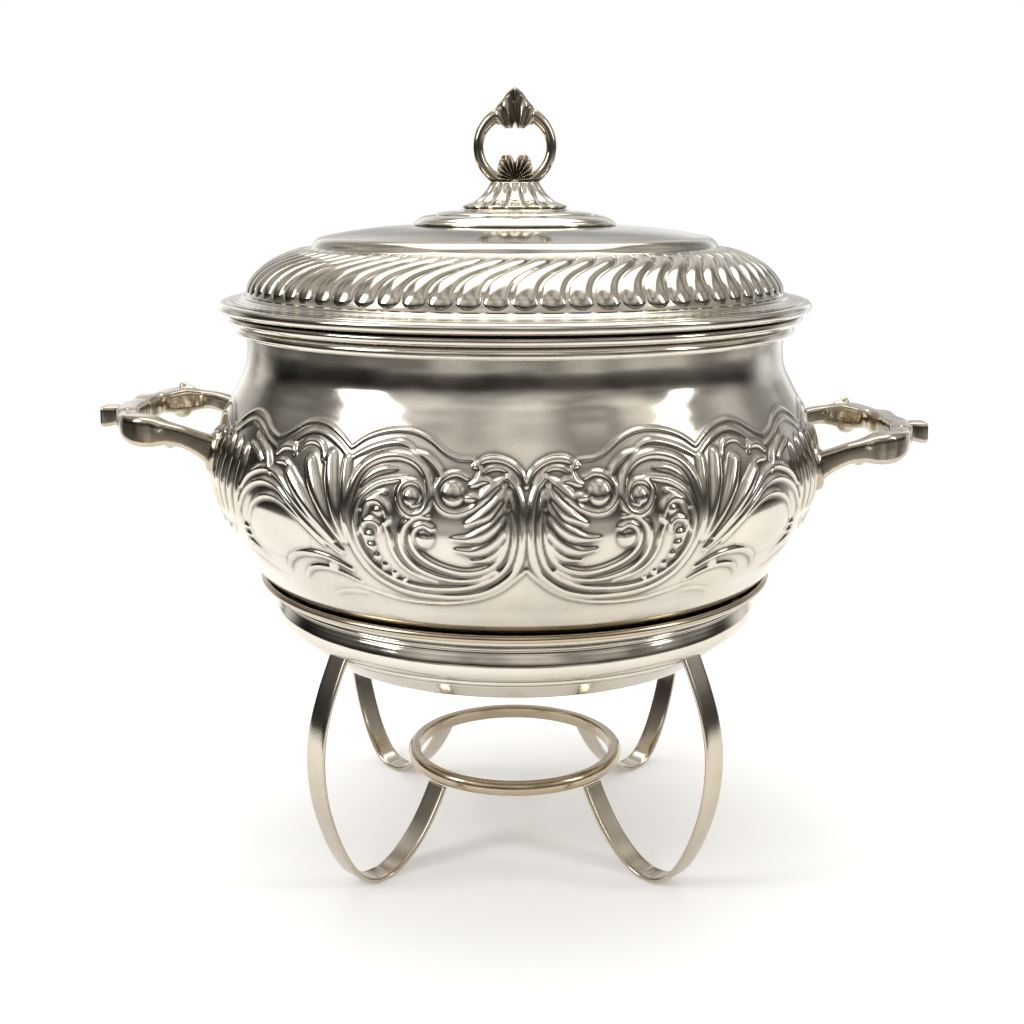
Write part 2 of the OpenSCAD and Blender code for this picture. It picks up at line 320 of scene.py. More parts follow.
def silver(name, clean, roughness=0.12, tarnish_amount=0.5, wear_amount=0.3,
           scratch=0.04, cloud_scale=22, recess_shade=False, ripple=0.0):
    """Old polished plate: cloudy tarnish, recesses darkened by tarnish and painted shade, worn edges, fine
    scratches and a soft ripple.
    """
    material, tree, shader, add = node_maker(name)
    place = add("TexCoord").outputs["Object"]
    clouds = add("TexNoise", {"Vector": place, "Scale": cloud_scale, "Detail": 6, "Roughness": 0.62})
    specks = add("TexNoise", {"Vector": place, "Scale": cloud_scale * 14, "Detail": 4, "Roughness": 0.7})
    edge = add("NewGeometry").outputs["Pointiness"]
    cloudy = ramp(add, clouds.outputs["Fac"], [(0.38, 0.0), (0.72, 1.0)])
    speckled = ramp(add, specks.outputs["Fac"], [(0.56, 0.0), (0.75, 1.0)])
    hollow = ramp(add, edge, [(0.40, 1.0), (0.497, 0.0)])
    ridge = ramp(add, edge, [(0.515, 0.0), (0.60, 1.0)])
    dark = times(add, cloudy, tarnish_amount * 0.55)
    dark = times(add, speckled, 0.18 * tarnish_amount, dark)
    # concave places darker, from the mesh's pointiness: tarnish and painted shade
    dark = times(add, hollow, 0.6 * tarnish_amount, dark)
    # the recess attribute adds painted shade: hollows of the chasing, grooves, creases and gaps between
    # parts
    if recess_shade:
        dark = times(add, add("Attribute", attribute_name="recess_shade").outputs["Fac"], 0.72, dark)
    dark = add("Clamp", {"Value": dark}).outputs[0]
    mist = add("TexNoise", {"Vector": place, "Scale": 7, "Detail": 4, "Roughness": 0.6})
    yellowed = ramp(add, mist.outputs["Fac"], [(0.36, 0.0), (0.66, 1.0)])
    color = blend(add, yellowed, clean, [c * t for c, t in zip(clean, (1.0, 0.955, 0.87))])
    color = blend(add, dark, color, TARNISH_AND_SHADE)
    worn = times(add, times(add, ridge, wear_amount), clouds.outputs["Fac"])
    color = blend(add, worn, color, BRONZE)
    tree.links.new(color, shader.inputs["Base Color"])
    shader.inputs["Metallic"].default_value = 1.0

    streaks = add("Mapping", {"Vector": place, "Rotation": (0.5, 0.3, 0.9), "Scale": (1, 1, 14)})
    lines = add("TexNoise", {"Vector": streaks.outputs[0], "Scale": 260, "Detail": 5, "Roughness": 0.75})
    rub = ramp(add, lines.outputs["Fac"], [(0.35, 0.0), (0.70, 1.0)])
    rough = times(add, dark, 0.22, times(add, rub, 0.05, roughness))
    tree.links.new(rough, shader.inputs["Roughness"])

    waves = add("TexNoise", {"Vector": place, "Scale": 30, "Detail": 2})
    grain = add("Bump", {"Strength": scratch, "Distance": 0.0004, "Height": lines.outputs["Fac"]})
    soft = add("Bump", {"Strength": ripple, "Distance": 0.002, "Height": waves.outputs["Fac"],
                        "Normal": grain.outputs[0]})
    tree.links.new(soft.outputs[0], shader.inputs["Normal"])
    return material


def paint(piece, material):
    piece.data.materials.clear()
    piece.data.materials.append(material)


def finish(piece, material, body, node):
    """Paints a piece and puts it on a body in the place of a CAD node."""
    paint(piece, material)
    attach(piece, body)
    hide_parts(node)


def paint_node(node, material):
    """A carried-over CAD node keeps its shape and takes a finished material."""
    o = frame["nodes"][node]
    for i in range(len(o.material_slots)):
        o.material_slots[i].material = material


SILVER = (0.735, 0.695, 0.62)
# a darker copy of SILVER for the lid: painted shade that tones down the overhead light on its top
SHADED_LID_SILVER = (0.56, 0.53, 0.465)
WARM_SILVER = (0.62, 0.57, 0.49)
OLD_SILVER = (0.56, 0.505, 0.42)
THIN_SILVER = (0.56, 0.475, 0.36)       # worn down, so that the metal under it shows
BRASS = (0.70, 0.56, 0.32)
# dark colour of tarnish, and of the painted shade in recesses and gaps
TARNISH_AND_SHADE = (0.10, 0.088, 0.07)
BRONZE = (0.62, 0.46, 0.27)

polished = silver("polished_silver", SILVER, 0.06, 0.30, 0.35, 0.03, recess_shade=True, ripple=0.08)
chased = silver("chased_silver", SILVER, 0.085, 0.35, 0.30, 0.03, recess_shade=True, ripple=0.16)
cast = silver("cast_silver", OLD_SILVER, 0.09, 0.75, 0.45, 0.03, cloud_scale=60)
collar_plate = silver("collar_plate", SILVER, 0.05, 0.25, 0.8, 0.025, recess_shade=True, ripple=0.08)
strap_plate = silver("strap_plate", WARM_SILVER, 0.12, 0.40, 1.0, 0.06, cloud_scale=40)
worn_plate = silver("worn_plate", THIN_SILVER, 0.15, 0.35, 1.0, 0.05, cloud_scale=40)
lid_plate = silver("lid_plate", SHADED_LID_SILVER, 0.085, 0.40, 0.30, 0.03, recess_shade=True, ripple=0.12)
chased_dark = silver("chased_dark", OLD_SILVER, 0.12, 0.35, 0.25, 0.01, recess_shade=True)
ring_silver = silver("ring_silver", OLD_SILVER, 0.10, 0.35, 0.15, 0.01)
brass = silver("turned_brass", BRASS, 0.25, 0.6, 0.5, 0.08, cloud_scale=80)


# ---- chased band of the bowl
# The design is drawn on the unrolled bowl, in millimetres: across from the middle of the front, and up
# from the table. It is mirrored at the middle of the front, at the handles and again at the back.

BELLY = span("pot_bowl", X)[1]                      # largest radius of the bowl
HALF_TURN = math.pi * BELLY / 2                     # from the middle of the front to a handle
CELL = 0.3                                          # of the relief grid
RELIEF_LOW, RELIEF_HIGH = 120, 212
RELIEF_DEPTH = 1.7                                  # the ground lies this far under the plain face

# strokes: (points, width at the start, in the middle, at the end, height)
STROKES = [
    # the big scroll: its volute, its outline down and round, and the stem in the middle
    ([(40.5, 173.4), (37.6, 174.8), (36.8, 178), (38.6, 181), (42, 181.8), (45, 180), (45.8, 176),
      (44, 172.2), (41, 170.4), (37.4, 171.2), (35, 174.5), (34.3, 179), (36, 184.6), (40, 188.4),
      (46, 190.2), (53, 189.6), (59, 187), (63, 182.6), (65.2, 176.6), (66, 169), (65, 160), (62, 152.2),
      (57, 146), (50, 142), (42, 140), (33, 139.4), (24, 139.8), (15, 142), (8.4, 146), (4, 151),
      (2, 158), (1.4, 166), (1.8, 174), (3.4, 180), (6.4, 184)], 1.4, 3.2, 2.2, 1.35),
    ([(43, 182.6), (48, 182), (54, 180.6), (59, 177.2), (62, 172.4), (62.8, 166), (62, 159), (59, 152.6),
      (54, 147.8), (47, 144.4), (39, 142.8), (30, 142.8), (21, 144), (13.4, 147), (8, 151.4), (5.2, 157),
      (4.2, 164), (4.6, 172), (6, 179)], 1.2, 2.5, 1.6, 1.2),
    ([(47, 185.6), (53, 185), (58, 182.6), (61, 179)], 1.0, 3.4, 1.0, 0.8),
    ([(51, 177.6), (56, 175.6), (59, 170.6), (59.8, 164), (58.4, 157.4)], 1.0, 2.2, 1.2, 1.0),
    # the second volute and its tail
    ([(33.4, 166), (36.6, 167.2), (39.8, 165.4), (40.8, 161.4), (39.4, 157.4), (35.4, 153.8), (29, 151),
      (22, 149.8), (15.4, 151), (10.4, 154.4), (7.6, 160), (6.8, 167), (7.4, 175), (8.4, 181)], 2.0, 2.8,
      1.6, 1.3),
    ([(34.6, 170), (39.4, 169.6), (43.4, 166.6), (45, 161.6), (44, 155.8), (40, 151), (33, 147.8),
      (25, 146.6), (17, 147.6), (10.6, 151)], 1.4, 2.6, 1.4, 1.15),
    ([(52, 168.6), (49.4, 163), (48.6, 157), (45.6, 151.4), (40, 147.6), (33, 145.4)], 1.2, 2.4, 1.0,
      0.9),
    # curled leaf over the beads
    ([(60.6, 171), (57.6, 174.2), (53.6, 174.8), (50.6, 172.4), (49.6, 168.6), (51, 166.6)], 1.4, 3.6,
      1.8, 1.3),
    ([(61, 162.6), (59.4, 166.2), (56, 167.4), (53.2, 166), (53.4, 163.4)], 1.2, 2.2, 1.4, 1.1),
    # ring round the boss, and the leaves beside it
    ([(20.6, 183.6), (24.6, 185.2), (29, 184), (31.8, 180.4), (31.8, 176), (29, 172.6), (24.6, 171.6),
      (19.6, 173.2), (15.2, 175.6)], 1.2, 2.2, 1.4, 1.1),
    ([(41.4, 191.6), (36.6, 190), (32.6, 187), (30.6, 184), (31.6, 181.6)], 1.2, 2.6, 1.2, 1.1),
    ([(21, 177), (17.4, 177.2), (15, 175.6)], 1.6, 2.8, 1.4, 1.2),
    ([(19.4, 181.4), (15.6, 183), (12, 182.6)], 1.4, 2.6, 1.4, 1.1),
    # feathers of the half palmette
    ([(7.8, 183.6), (11.2, 181), (15, 177.6), (19.2, 173.6)], 1.4, 4.2, 1.2, 1.45),
    ([(7.2, 181.4), (10.4, 175.6), (15, 171), (21, 168)], 1.4, 4.6, 1.2, 1.5),
    ([(6.6, 178), (9, 170.8), (13.6, 165.6), (19.6, 162.8), (26, 162.6)], 1.4, 4.6, 1.2, 1.5),
    ([(6.2, 173), (8.2, 165.8), (12.6, 160.6), (18.8, 158), (25, 158.4)], 1.4, 4.2, 1.2, 1.45),
    ([(6.8, 165), (9.6, 159), (14, 155.6), (19.6, 154.4)], 1.2, 3.2, 1.0, 1.35),
    # border over the palmette
    ([(18.6, 187.6), (14.6, 189.8), (9.6, 190), (4.8, 188.2), (1.6, 185.2), (0, 181)], 1.4, 1.9, 1.4,
      1.2),
    ([(16.6, 184.6), (12.8, 187), (8.4, 187), (4.8, 184.8), (2.4, 181.6)], 1.2, 1.7, 1.0, 0.9),
    ([(18, 188.6), (16.2, 185.8), (17.6, 183)], 1.2, 1.8, 1.2, 1.1),
    # scalloped double border
    ([(67.6, 191.2), (62, 195), (55, 197.4), (47.4, 198.2), (41, 197.4), (35, 195), (30, 191.8),
      (25, 189.8), (18.6, 189.4)], 1.0, 1.3, 1.0, 0.85),
    ([(67.4, 187.6), (61.4, 190.8), (54.6, 193.2), (48, 194.2), (43.6, 193), (40.6, 191)], 1.2, 2.4, 1.2,
      0.7),
    ([(67.6, 191.2), (73.6, 194.8), (80, 197.4), (87, 198.4), (93, 197.4), (98, 194.8), (103, 192.2),
      (107, 191)], 1.0, 1.3, 1.0, 0.85),
    ([(67.4, 187.6), (73, 191.6), (79.6, 194.4), (86.6, 195.2), (92, 193.6), (96.6, 190.8)], 1.2, 2.6,
      1.2, 0.7),
    ([(107, 191), (113.4, 193), (120.4, 196.6), (128, 198.2), (135, 196.6), (141, 193.4), (146, 190.8)],
      1.0, 1.3, 1.0, 0.85),
    ([(106.4, 187.6), (112.4, 189.6), (119.6, 193), (127.4, 194.6), (134, 193), (140, 189.8),
      (145.6, 187.2)], 1.2, 2.6, 1.2, 0.7),
    ([(146, 190.8), (152, 193.4), (160, 196), (169, 196.8), (178, 194.6), (186, 191), (194, 188.4),
      (202.8, 187.6)], 1.0, 1.3, 1.0, 0.85),
    ([(145.8, 187.2), (152, 190), (160, 192.4), (169, 193), (178, 190.8), (186, 187.4), (194, 185),
      (202.8, 184.2)], 1.2, 2.6, 1.2, 0.7),
    # acanthus fan
    ([(68.4, 187), (67.8, 177), (67.4, 167), (67, 158)], 3.2, 3.4, 1.2, 1.5),
    ([(76, 187.4), (74, 177.6), (71, 167.4), (68.2, 158)], 4.6, 4.2, 1.4, 1.65),
    ([(85.4, 184.6), (81, 175.6), (75.4, 166.8), (69.8, 158)], 4.8, 4.4, 1.4, 1.65),
    ([(95.4, 179.8), (89, 173.6), (81, 166), (73, 157.8)], 4.4, 4.2, 1.4, 1.6),
    ([(126, 170.4), (121, 175.6), (114, 179), (107, 179.8), (99.6, 177.4), (92, 171.8), (84, 165.4),
      (75.6, 158.4), (69.6, 154)], 1.4, 2.8, 1.2, 1.4),
    ([(130, 160.6), (124, 168.4), (117, 173.4), (109, 175.4), (101, 174), (94, 170), (86, 164),
      (78, 157.8), (71, 152.8)], 1.2, 2.6, 1.2, 1.3),
    ([(122, 158.6), (117.6, 165), (111, 169.2), (104, 170.4), (97.4, 169), (90.6, 165.4), (84, 160.6),
      (78.4, 156)], 1.2, 2.4, 1.8, 1.3),
    ([(77, 187.6), (78.6, 186.4), (80.4, 190), (84, 192), (89, 191.6), (93, 188.6)], 1.2, 2.2, 1.2, 1.1),
    ([(94.6, 186.6), (96, 188.8), (101, 188.6), (105, 185.8)], 1.2, 2.2, 1.2, 1.1),
    ([(104.6, 183), (99.6, 183.6), (95, 182)], 1.0, 2.4, 1.0, 0.8),
    # hooked leaf between the fan and the side flutes
    ([(121.4, 190.6), (115, 187.8), (109.6, 184), (106.4, 178.6)], 1.4, 3.0, 2.0, 1.45),
    ([(124, 187), (118.4, 185.4), (113.6, 182.4)], 1.2, 2.4, 1.2, 1.1),
    # foot of the cartouche
    ([(104, 141.6), (99.6, 146.6), (92.4, 150.2), (84, 151.2), (75.6, 150.2), (67.6, 147)], 1.2, 2.4, 1.6,
      1.1),
    ([(94, 140.4), (88.6, 144.6), (81, 146.2), (72.6, 145), (65, 142)], 1.0, 2.0, 1.2, 1.0),
    ([(82, 134.4), (74, 137), (64.6, 137.4)], 0.8, 1.3, 0.8, 0.6),
    ([(137, 144), (126.6, 141), (118.4, 138.2), (111, 137)], 0.8, 1.6, 0.8, 0.7),
    ([(129.6, 153.4), (127, 155), (124.4, 154.4)], 1.0, 2.0, 1.0, 1.0),
    ([(131, 149.8), (127.6, 151.6), (124.6, 151)], 1.0, 2.0, 1.0, 1.0),
    ([(131.4, 146.4), (127, 148.6), (122.4, 147), (116.4, 143.6)], 1.0, 2.2, 1.0, 0.9),
    # lower edge, down to its point in the middle
    ([(68, 141), (58, 138.2), (48, 136.4), (38, 136), (28, 136.6), (18, 138.8), (10, 142.4), (4, 147.2),
      (0, 151.4)], 0.8, 1.5, 1.5, 0.9),
]
# side flutes, which lean more the nearer they are to the handle
for i in range(10):
    x = 126.5 + 7.6 * i
    lean = 4 + 0.35 * i
    top = 188 - 1.1 * abs(i - 3)
    flute = [(x, top), (x + 0.35 * lean, top - 8), (x + 0.8 * lean, top - 17), (x + lean, 158 - 0.6 * i)]
    STROKES.append((flute, 3.2, 4.6, 1.4, 1.5))
for i in range(6):
    x = 140 + 11 * i
    STROKES.append(([(x, 154 - i * 0.4), (x + 4, 150.5), (x + 9, 149.4), (x + 12, 151)], 1.0, 2.2, 1.2, 0.9))

# domes: (across, up, half width, half height, height)
DOMES = [
    (41.2, 176.6, 3.3, 3.3, 1.5), (36.2, 162.2, 3.6, 3.8, 1.6), (26, 178.6, 4.4, 4.4, 1.7),
    (57.2, 161.6, 1.7, 1.8, 1.2), (56.8, 157.6, 1.7, 1.8, 1.2), (55.4, 153.8, 1.6, 1.7, 1.1),
    (52.6, 150.4, 1.5, 1.5, 1.0), (49.2, 147.6, 1.3, 1.3, 0.9), (45.6, 145.6, 1.1, 1.1, 0.8),
    (76, 147.6, 2.4, 1.6, 1.0), (53.6, 171, 2.4, 2.0, 1.2), (104, 157, 19, 10.5, 0.8), (160, 168, 4, 5, 1.2),
]


def stroke_relief():
    """The band as a grid of heights: strokes are rounded ridges and domes are eggs."""
    across = np.arange(0, HALF_TURN + CELL, CELL)
    up = np.arange(RELIEF_LOW, RELIEF_HIGH, CELL)
    height = np.zeros((len(up), len(across)))
    for points, w0, w1, w2, tall in STROKES:
        line = curve(points, 8)
        t = np.linspace(0, 1, len(line))
        width = np.interp(t, [0, 0.25, 0.6, 1], [w0, 0.5 * (w0 + w1) + 0.2 * w1, w1, w2]) / 2
        width *= 1 + 0.22 * (tall > 0.9)
        for (a, b, wa, wb) in zip(line[:-1], line[1:], width[:-1], width[1:]):
            reach = max(wa, wb)
            x0, x1 = sorted((a[0], b[0]))
            y0, y1 = sorted((a[1], b[1]))
            i0, i1 = np.searchsorted(across, [x0 - reach, x1 + reach])
            j0, j1 = np.searchsorted(up, [y0 - reach, y1 + reach])
            if i0 == i1 or j0 == j1:
                continue
            gx, gy = np.meshgrid(across[i0:i1], up[j0:j1])
            d = b - a
            s = unit(((gx - a[0]) * d[0] + (gy - a[1]) * d[1]) / max(d @ d, 1e-9))
            away = np.hypot(gx - a[0] - s * d[0], gy - a[1] - s * d[1])
            w = wa + (wb - wa) * s
            rise = tall * np.clip(w / (w1 / 2), 0.3, 1) ** 0.6
            bump = rise * np.clip(1 - (away / w) ** 2, 0, None) ** 0.8
            view = height[j0:j1, i0:i1]
            np.maximum(view, bump, out=view)
    gx, gy = np.meshgrid(across, up)
    for x, z, rx, rz, tall in DOMES:
        inside = np.clip(1 - ((gx - x) / rx) ** 2 - ((gy - z) / rz) ** 2, 0, None)
        np.maximum(height, tall * inside**0.6, out=height)
    return across, up, height


def blurred(grid, cells):
    """A box blur along both axes, run twice."""
    k = np.ones(2 * cells + 1) / (2 * cells + 1)
    for _ in range(2):
        for axis in (0, 1):
            grid = np.apply_along_axis(
                lambda v: np.convolve(np.pad(v, cells, "edge"), k, "valid"), axis, grid)
    return grid


def sample(grid, across, up, x, z):
    """Bilinear reading of a relief grid."""
    u = np.clip((x - across[0]) / CELL, 0, len(across) - 1.001)
    v = np.clip((z - up[0]) / CELL, 0, len(up) - 1.001)
    i, j = u.astype(int), v.astype(int)
    u, v = u - i, v - j
    top = grid[j + 1, i] * (1 - u) + grid[j + 1, i + 1] * u
    low = grid[j, i] * (1 - u) + grid[j, i + 1] * u
    return low * (1 - v) + top * v


def make_bowl():
    """Bowl with its chased band, its inner face and its closed bottom, in one skin."""
    low, high = span("pot_bowl")
    across, up, relief = stroke_relief()
    relief = blurred(relief, 1)
    near, wide_blur = blurred(relief, 3), blurred(relief, 7)
    # painted shade, with some tarnish, in narrow hollows, and thinly in wide ones
    cavity_shade = unit((near - relief) / 0.26) ** 1.3 + 0.35 * unit((wide_blur - relief) / 0.6)
    cavity_shade = unit(cavity_shade)
    zs = np.concatenate([np.arange(low + 0.9, 126, 1.2), np.arange(126, 204, 0.4), np.arange(204, high, 1.3),
                         [high - 0.01]])
    fine_z = np.arange(low + 0.3, high, 0.35)
    outside = eased(fine_z, outer_radius("pot_bowl", fine_z), 3.0, zs)
    columns = 1600
    angles = np.arange(columns) * TAU / columns
    # distance round from the middle of the front, folded back at the handles
    turn = np.abs((angles + math.pi / 2 - FRONT_TURN + math.pi) % TAU - math.pi) * BELLY
    turn = np.where(turn > HALF_TURN, 2 * HALF_TURN - turn, turn)
    grid_x, grid_z = np.meshgrid(turn, zs)
    bump = sample(relief, across, up, grid_x, grid_z)
    dark = sample(cavity_shade, across, up, grid_x, grid_z)
    fade = smooth_step(zs, RELIEF_LOW + 2, 134) * (1 - smooth_step(zs, 200, 216))
    sunk = RELIEF_DEPTH * fade[:, None]
    radius = outside[:, None] - sunk + np.minimum(bump, sunk)
    height = np.repeat(zs[:, None], columns, 1)
    # floor of the bowl below, and the plain inner face above
    floor_r = np.array([0, 12, 26, 40, 52, 64])
    floor_z = top_height("pot_bowl", np.maximum(floor_r, 0.5), 0.0, 1)
    inner_z = np.concatenate([np.linspace(high - 0.01, 208, 10), np.linspace(205, 122, 34)])
    inner_r = np.interp(inner_z, zs, outside) - 1.2 - 1.4 * np.interp(inner_z, zs, fade)
    inner_r[0] = inner_r[1]
    lower_z = np.linspace(118, 108.5, 8)
    lower_r = np.interp(lower_z, zs, outside) - 3.2
    inner_floor_r = np.array([70, 56, 40, 24, 10, 0])
    inner_floor_z = np.interp(inner_floor_r, floor_r, floor_z) + 1.4
    inner_floor_z[0] += 0.7

    def wide(v):
        return np.repeat(np.asarray(v, float)[:, None], columns, 1)

    r = np.vstack([wide(floor_r), radius, wide(np.r_[inner_r, lower_r, inner_floor_r])])
    z = np.vstack([wide(floor_z), height, wide(np.r_[inner_z, lower_z, inner_floor_z])])
    shade = np.vstack([wide(floor_r * 0), dark * fade[:, None],
                       wide(np.r_[inner_r, lower_r, inner_floor_r] * 0)])
    bowl = turned("bowl_chased", r, z, recess_shade=shade, angles=angles, closed=False)
    finish(bowl, chased, "pot", "pot_bowl")


# ---- gadrooned lid

def make_lid():
    """Dome with S-shaped lobes round its shoulder. v is the distance in from the edge of the flange."""
    rim_r = span("lid_dome", X)[1]
    r_line = np.concatenate([np.arange(3.2, 76, 0.8), np.arange(76, rim_r - 0.05, 0.12), [rim_r - 0.05]])
    z_line = top_height("lid_dome", r_line)
    line = np.stack([r_line, z_line], 1)
    # even steps along the outline, finer where the lobes are
    run = np.r_[0, np.cumsum(np.hypot(*np.diff(line, axis=0).T))]
    back = run[-1] - run                                   # distance in from the edge of the flange
    steps = np.concatenate([np.arange(run[-1], 50, -2.2), np.arange(50, 3, -0.42), np.arange(3, 0, -0.5),
                            [0]])
    r_line = eased(-back, line[:, 0], 1.2, -steps)
    z_line = eased(-back, line[:, 1], 1.2, -steps)
    tangent = np.stack([np.gradient(r_line), np.gradient(z_line)], 1)
    tangent /= np.linalg.norm(tangent, axis=1)[:, None]
    normal = np.stack([-tangent[:, 1], tangent[:, 0]], 1)
    normal *= np.sign(normal[:, 1:] + 1e-9)
    columns = LOBES * 22
    angles = np.arange(columns) * TAU / columns
    v = steps[:, None]
    lean = np.radians(9.5) * smooth_step(v, 12, 40) * (0.35 + 0.65 * smooth_step(v, 14, 34))
    phase = (angles[None, :] - lean + math.pi / 2 - FRONT_TURN) * LOBES / TAU
    across = phase - np.round(phase)
    half = 0.5 * np.sqrt(unit(1 - unit((12.4 - v) / 4.4) ** 2))
    half = half * (1 - 0.16 * smooth_step(v, 26, 41))
    sunk = (1.35 + 0.85 * smooth_step(v, 8, 16)) * (1 - 0.5 * smooth_step(v, 20, 40))
    tall = sunk * (1 - smooth_step(v, 37.5, 42))
    end = np.sqrt(unit(1 - unit((13.4 - v) / 5.5) ** 2))
    lobe = tall * end * np.clip(1 - (across / np.maximum(half, 1e-3)) ** 2, 0, None) ** 0.5
    lobe = np.where(half > 0.02, lobe, 0)
    base = -sunk * smooth_step(v, 6.4, 8.4) * (1 - smooth_step(v, 38, 43))
    rise = base + np.minimum(lobe, -base)
    # painted shade in the creases between the lobes
    dark = unit(1 - lobe / np.maximum(0.55 * tall, 0.05)) * smooth_step(v, 7, 8.4) * (
        1 - smooth_step(v, 38, 42))
    r_top = r_line[:, None] + rise * normal[:, :1]
    z_top = z_line[:, None] + rise * normal[:, 1:]
    # fine turned lines on the flange
    on_flange = (steps > 1.2) & (steps < 6.4)
    z_top = z_top + ((0.10 * np.cos(steps * TAU / 1.6) - 0.12) * on_flange)[:, None]
    under = np.linspace(rim_r - 0.2, 3.2, 70)
    z_under = top_height("lid_dome", under, 0.0, 1)
    r_all = np.vstack([r_top, np.repeat(under[:, None], columns, 1)])
    z_all = np.vstack([z_top, np.repeat(z_under[:, None], columns, 1)])
    shade = np.vstack([dark, np.zeros((len(under), columns))])
    lid = turned("lid_gadrooned", r_all, z_all, recess_shade=shade, angles=angles)
    finish(lid, lid_plate, "lid", "lid_dome")


# ---- finial

def make_calyx():
    """Fluted trumpet under the ring."""
    low, high = span("finial_calyx")
    z = np.linspace(low, high - 0.05, 46)
    z[0] += 0.02
    r = eased(z, outer_radius("finial_calyx", np.clip(z, z[0] + 0.05, z[-1] - 0.05)), 0.8, z)
    flutes, per = 14, 22
    angles = np.arange(flutes * per) * TAU / (flutes * per)
    t = ((z - z[0]) / (z[-1] - z[0]))[:, None]
    wave = np.abs(np.sin(angles * flutes / 2))[None, :] ** 0.7
    depth = (0.3 + 1.5 * np.sin(np.pi * unit(t * 0.85 + 0.12))) * np.clip(r[:, None] / 14, 0.6, 1.3)
    radius = r[:, None] - depth * (1 - wave)
    shade = unit(1.35 - 1.9 * wave) * unit(1.15 - 0.5 * t)
    zero = np.zeros((1, len(angles)))
    radius = np.vstack([zero, radius, zero])
    height = np.repeat(np.r_[z[0], z, z[-1]][:, None], len(angles), 1)
    shade = np.vstack([zero, shade, zero])
    piece = turned("finial_calyx_fluted", radius, height, angles=angles, recess_shade=shade, closed=False)
    finish(piece, chased, "lid", "finial_calyx")


def make_ring():
    """Cast ring with a ridge round its outside; it widens into the leaf above and at its feet."""
    low, high = span("finial_ring")
    outer = np.ptp(span("finial_ring", X)) / 2
    thick = np.ptp(span("finial_ring", Y)) / 2
    middle = outer - thick
    centre_z = high - outer
    a, s = np.meshgrid(np.arange(200) * TAU / 200, np.arange(32) * TAU / 32, indexing="ij")
    foot = unit(-np.sin(a)) ** 3
    head = unit(np.sin(a)) ** 2
    inward = thick * (0.80 + 0.35 * foot + 0.75 * head)
    outward = thick * (0.94 + 0.04 * foot)
    side = thick * (0.80 + 0.2 * foot + 0.2 * head)
    across = np.cos(s)
    rr = middle + np.where(across > 0, outward, inward) * across
    yy = side * np.sign(np.sin(s)) * np.abs(np.sin(s)) ** 1.25
    x, z = rr * np.cos(a), np.maximum(centre_z + rr * np.sin(a), low)
    piece = add_mesh("finial_ring_cast", np.stack([x, yy, z], -1).reshape(-1, 3),
                     grid_faces(200, 32, wrap_rows=True))
    fix_normals(piece)
    finish(piece, ring_silver, "lid", "finial_ring")


def two_faced(name, x, z, half_thickness, shade):
    """A leaf with the same relief on its front and its back, from grids in the XZ plane."""
    rows, columns = x.shape
    front = np.stack([x, -half_thickness, z], -1).reshape(-1, 3)
    back = np.stack([x, half_thickness, z], -1).reshape(-1, 3)
    quads = np.vstack([grid_faces(rows, columns, wrap_columns=False),
                       grid_faces(rows, columns, wrap_columns=False, start=rows * columns)[:, ::-1]])
    piece = add_mesh(name, np.vstack([front, back]), quads, recess_shade=np.r_[shade.ravel(), shade.ravel()])
    fix_normals(piece, 0.02)
    return piece


def make_leaf():
    """Pointed leaf: a centre ridge, ribs that curl out to its shoulders, and a notch below."""
    z0, z1 = span("finial_leaf")
    wide = span("finial_leaf", X)[1]
    tall = z1 - z0
    half = curve([(0.60 * wide, 0), (0.74 * wide, 0.08), (0.90 * wide, 0.20), (0.98 * wide, 0.34),
                  (0.80 * wide, 0.52), (0.58 * wide, 0.68), (0.40 * wide, 0.82), (0.22 * wide, 0.93),
                  (0.04 * wide, 1)], 8)
    t = np.linspace(0, 1, 90)[:, None]
    u = np.linspace(-1, 1, 121)[None, :]
    # the lower edge rises to a notch in the middle and beside the two tabs
    notch = 0.10 * np.exp(-(u / 0.12) ** 2) + 0.09 * smooth_step(np.abs(u), 0.62, 0.95)
    height = notch + (0.995 - notch) * t
    x = np.interp(height, half[:, 1], half[:, 0]) * u
    z = z0 + 0.05 + (tall - 0.08) * height
    fan = np.arctan2(x, (height + 0.42) * tall)
    curl = fan + 0.05 * np.sin(height * 4) * np.sign(u)
    ribs = 0.5 + 0.5 * np.cos(np.abs(curl) * TAU / 0.30)
    ridge = np.exp(-(x / 0.7) ** 2)
    ends = unit(t / 0.06) ** 0.5 * unit((1 - t) / 0.05) ** 0.5
    rim = unit(1 - np.abs(u) ** 3.2) ** 0.5 * ends
    relief = 0.62 + 0.26 * ribs * (1 - 0.5 * np.abs(u)) + 0.12 * ridge
    shade = unit(1.0 - 1.5 * ribs) * (1 - ridge)
    half_thickness = 0.49 * np.ptp(span("finial_leaf", Y)) * rim * relief
    piece = two_faced("finial_leaf_cast", x, z, half_thickness, shade)
    finish(piece, chased_dark, "lid", "finial_leaf")


